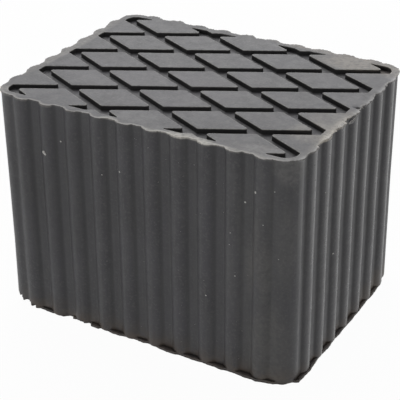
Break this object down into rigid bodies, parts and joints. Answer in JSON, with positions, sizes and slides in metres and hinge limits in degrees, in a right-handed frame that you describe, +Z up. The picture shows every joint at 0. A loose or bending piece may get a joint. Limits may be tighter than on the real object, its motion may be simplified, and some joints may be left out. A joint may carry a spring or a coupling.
{
  "type": "car lift rubber pad",
  "caption": "Solid rubber block with fluted sides and a diamond tread on top, laid between a vehicle lift and the sill it raises.",
  "frame": {"origin": "centre of the flat base, on the surface the block stands on", "axes": "+Z up through the tread, +X along the long side, +Y across it"},
  "size_m": [0.16, 0.122, 0.114],
  "materials": {
    "moulded_rubber": "matt moulded, dusty, with slightly glossy ribs"
  },
  "bodies": {
    "root": {"rubber_block": "moulded_rubber"}
  },
  "joints": []
}
